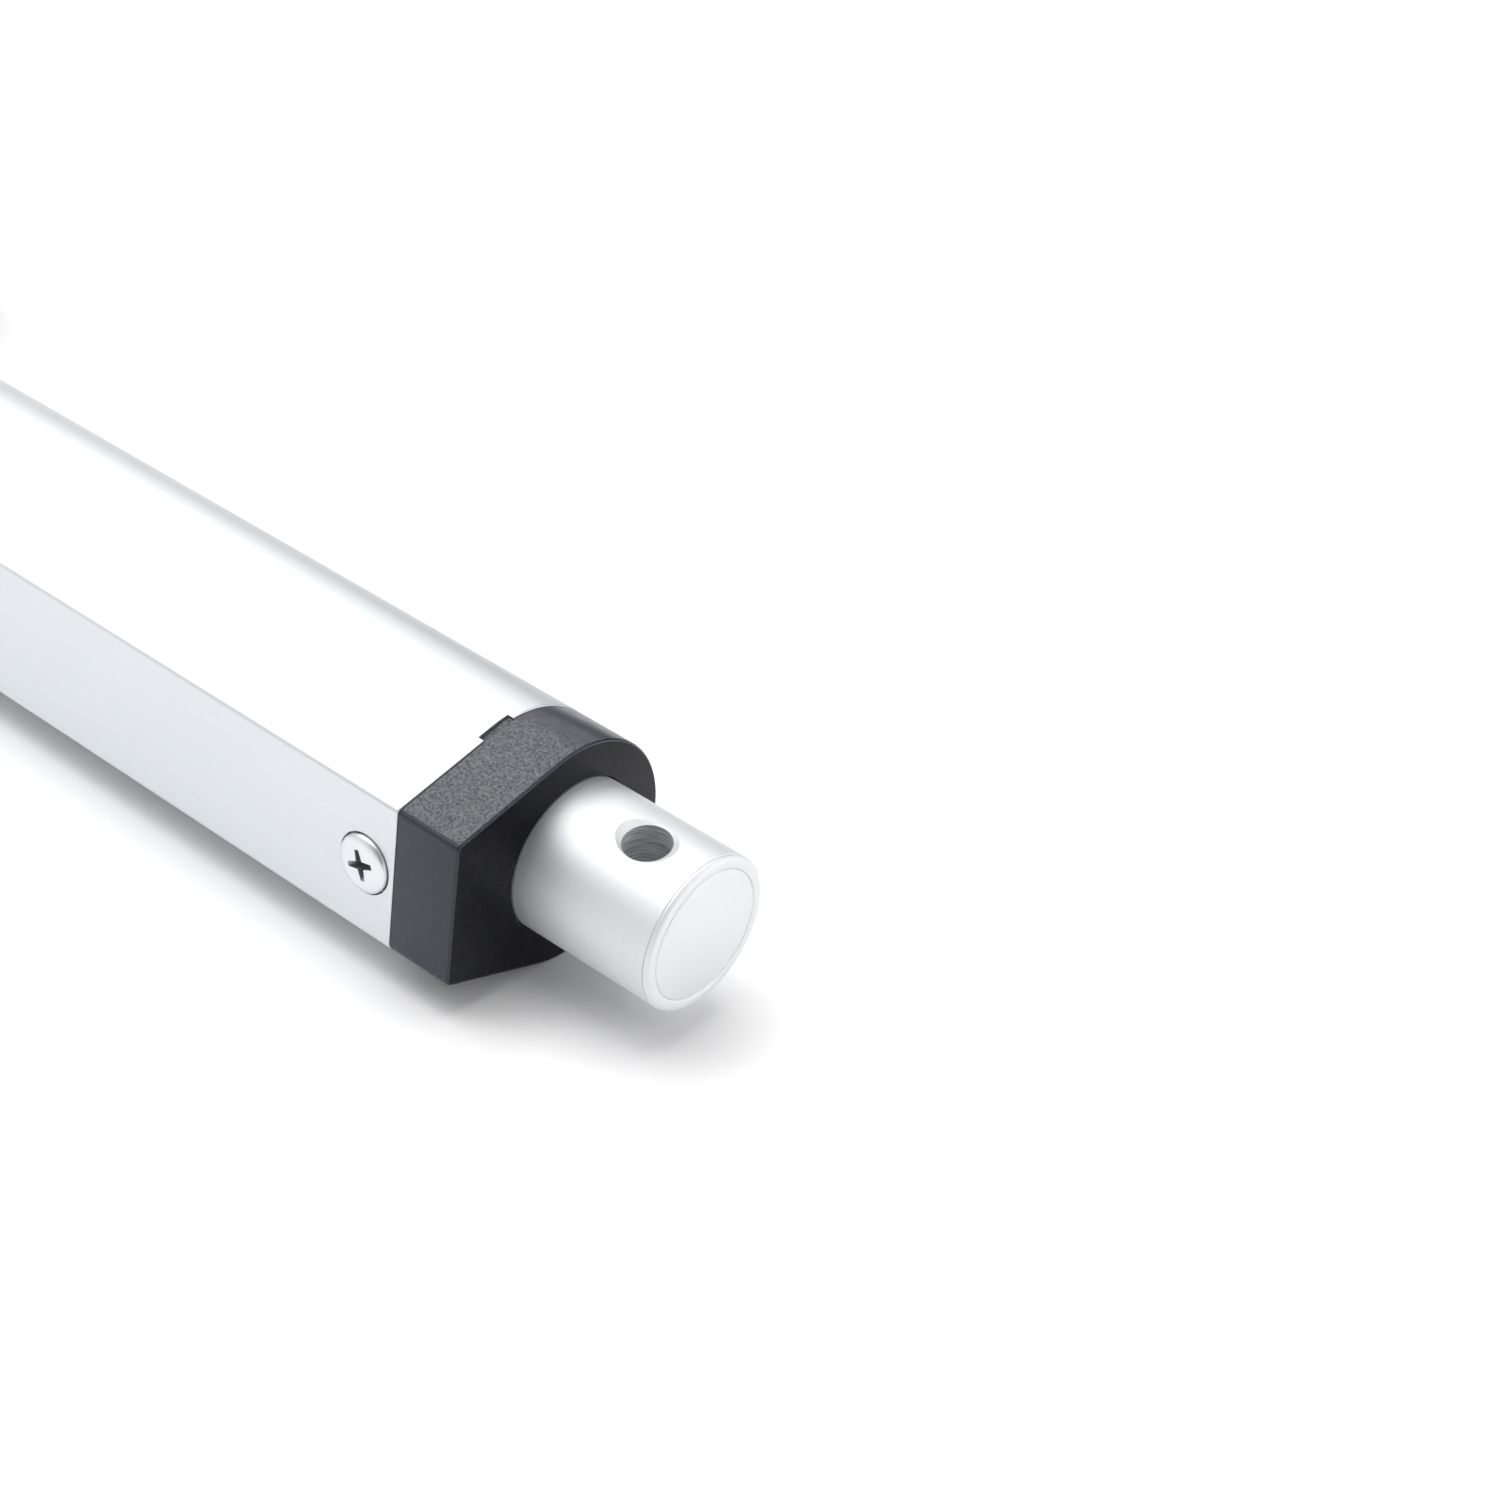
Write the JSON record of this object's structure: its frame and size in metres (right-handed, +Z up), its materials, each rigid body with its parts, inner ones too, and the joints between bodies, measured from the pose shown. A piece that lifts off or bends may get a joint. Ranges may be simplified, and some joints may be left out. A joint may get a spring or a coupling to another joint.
{
  "type": "linear actuator",
  "caption": "Compact electric linear actuator with a teardrop aluminium extrusion, black end cap, round rod with cross-drilled plugged end, and folded spur gearmotor.",
  "frame": {"origin": "centre of the footprint, at the level of the gearbox base", "axes": "+X runs from the rear pivot to the rod tip along the rod, +Y runs from the flat side of the tube towards the motor, +Z is up"},
  "size_m": [0.3224, 0.0754, 0.038],
  "materials": {
    "anodised": "satin silver anodised, fine extrusion lines along its length",
    "rod_metal": "satin turned aluminium, slightly darker than the tube",
    "black_plastic": "moulded black nylon with a fine spark grain",
    "bronze": "sintered bronze, matt",
    "rubber": "matt black rubber",
    "steel": "machined steel with a light oil film",
    "zinc_steel": "zinc plated steel",
    "acetal": "natural white acetal",
    "casting": "black powder-coated zinc casting",
    "ferrite": "dark grey sintered ferrite",
    "copper": "turned copper",
    "carbon": "pressed carbon",
    "board": "green glass-fibre circuit board",
    "gasket": "dark green-grey fibre gasket"
  },
  "bodies": {
    "housing": {"outer_tube": "anodised", "front_cap": "black_plastic", "guide_bush": "bronze", "wiper_seal": "rubber", "cap_screw_flat_side": "zinc_steel", "cap_screw_round_side": "zinc_steel", "bearing_outer_race": "steel", "bearing_shield_rear": "zinc_steel", "bearing_shield_front": "zinc_steel", "compound_axle": "steel", "brush_outer": "carbon", "brush_inner": "carbon", "magnet_upper": "ferrite", "magnet_lower": "ferrite", "motor_can": "zinc_steel", "motor_end_bell": "black_plastic", "motor_cover": "anodised", "motor_end_cap": "black_plastic", "gearbox_rear_housing": "casting", "rear_pivot_bush": "bronze", "gearbox_gasket": "gasket", "gearbox_adapter": "casting", "gearbox_screw_1": "zinc_steel", "gearbox_screw_2": "zinc_steel", "gearbox_screw_3": "zinc_steel", "gearbox_screw_4": "zinc_steel", "motor_screw_1": "zinc_steel", "motor_screw_2": "zinc_steel", "cable_gland": "rubber", "limit_switch_board": "board", "limit_switch_rear": "black_plastic", "limit_switch_front": "black_plastic"},
    "rod": {"rod_tube": "rod_metal", "rod_end_plug": "rod_metal", "lead_nut": "acetal"},
    "screw": {"lead_screw": "steel", "screw_circlip": "steel", "output_gear": "steel", "gear_spacer": "steel", "bearing_inner_race": "steel"},
    "compound_gear": {"compound_pinion": "steel", "compound_wheel": "acetal"},
    "motor_rotor": {"motor_rotor": "steel", "commutator": "copper", "motor_pinion": "steel"}
  },
  "joints": [
    {"name": "rod_slide", "type": "slide", "parent": "housing", "child": "rod", "axis": [1, 0, 0], "range_m": [0, 0.2]},
    {"name": "screw_turn", "type": "hinge", "parent": "housing", "child": "screw", "pos_m": [-0.0022, -0.01709, 0.015], "axis": [1, 0, 0], "continuous": true},
    {"name": "compound_gear_turn", "type": "hinge", "parent": "housing", "child": "compound_gear", "pos_m": [-0.1322, -0.0002, 0.01976], "axis": [1, 0, 0], "continuous": true},
    {"name": "motor_turn", "type": "hinge", "parent": "housing", "child": "motor_rotor", "pos_m": [-0.0822, 0.01869, 0.019], "axis": [1, 0, 0], "continuous": true}
  ],
  "couplings": [
    {"joint": "screw_turn", "follows": "rod_slide", "rad_per_m": -2094.4},
    {"joint": "compound_gear_turn", "follows": "rod_slide", "rad_per_m": 4188.8},
    {"joint": "motor_turn", "follows": "rod_slide", "rad_per_m": -11968}
  ]
}
